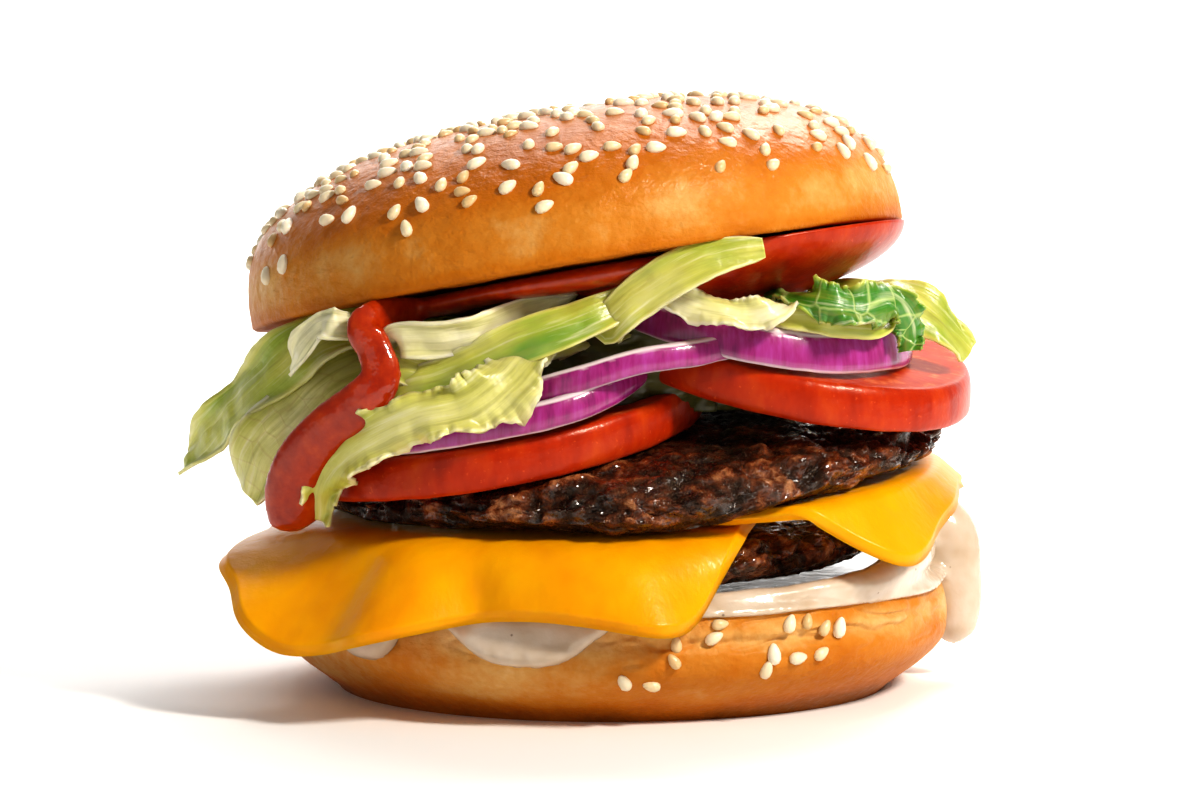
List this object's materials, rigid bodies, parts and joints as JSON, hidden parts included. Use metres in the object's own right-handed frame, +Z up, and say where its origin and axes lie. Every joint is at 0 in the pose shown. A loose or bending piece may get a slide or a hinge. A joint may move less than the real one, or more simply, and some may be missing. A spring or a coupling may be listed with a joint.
{
  "type": "double cheeseburger",
  "caption": "Double cheeseburger in a sesame bun, with melted cheese, tomato slices, red onion, shredded lettuce, ketchup and mayonnaise.",
  "frame": {"origin": "centre of the flat base of the heel, the lower half of the bun", "axes": "+Z up through the stack; -Y faces the front, where the cheese and the ketchup hang; +X to the right seen from the front"},
  "size_m": [0.1329, 0.1185, 0.0983],
  "materials": {
    "bun": "baked egg-washed crust, satin, with sesame seeds",
    "mayonnaise": "smooth wet sauce",
    "patty": "charred minced beef, wet with fat",
    "cheese": "melted processed cheese, soft gloss",
    "tomato": "wet tomato skin and flesh",
    "onion": "red onion skin, glossy",
    "lettuce": "crisp leaf, satin",
    "ketchup": "thick glossy sauce"
  },
  "bodies": {
    "root": {"bun_heel": "bun", "mayonnaise": "mayonnaise", "patty_lower": "patty", "cheese_front": "cheese", "cheese_right": "cheese", "patty_upper": "patty", "tomato_front_left": "tomato", "tomato_back_left": "tomato", "tomato_right": "tomato", "tomato_top": "tomato", "onion_front": "onion", "onion_middle": "onion", "onion_right": "onion", "lettuce": "lettuce", "ketchup": "ketchup", "bun_crown": "bun"}
  },
  "joints": []
}
